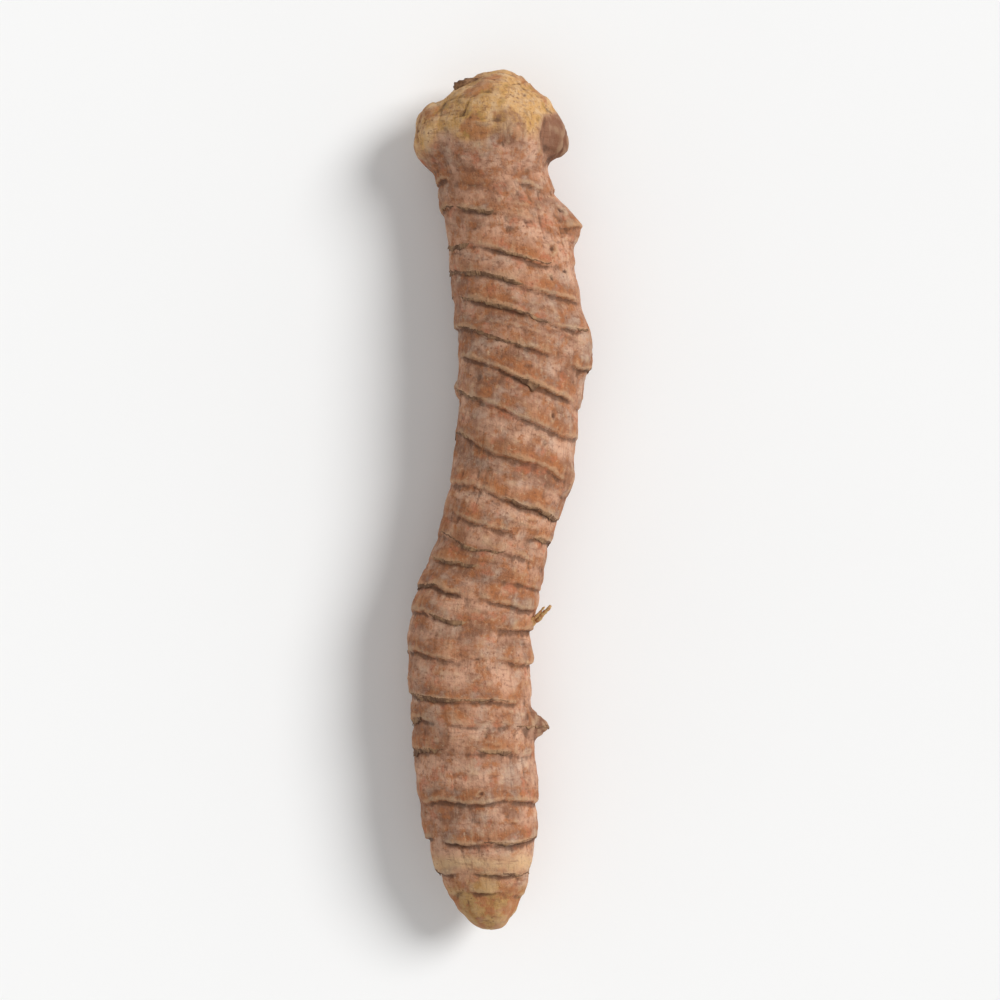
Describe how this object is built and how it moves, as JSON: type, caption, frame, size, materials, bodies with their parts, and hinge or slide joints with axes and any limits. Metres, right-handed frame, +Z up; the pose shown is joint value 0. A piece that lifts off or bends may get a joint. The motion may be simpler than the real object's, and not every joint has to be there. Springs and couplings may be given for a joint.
{
  "type": "turmeric root",
  "caption": "Fresh turmeric finger: ringed, gently bent root with a knobbly head, a side bud and a tapered tip, lying on its side.",
  "frame": {"origin": "middle of the footprint, on the surface that the root lies on", "axes": "+Y along the root from its growing tip to its knobbly head, +Z up, +X to the side with the side bud"},
  "size_m": [0.018, 0.0826, 0.0115],
  "materials": {
    "root_skin": "matte, thin corky skin"
  },
  "bodies": {
    "root": {"turmeric_root": "root_skin"}
  },
  "joints": []
}
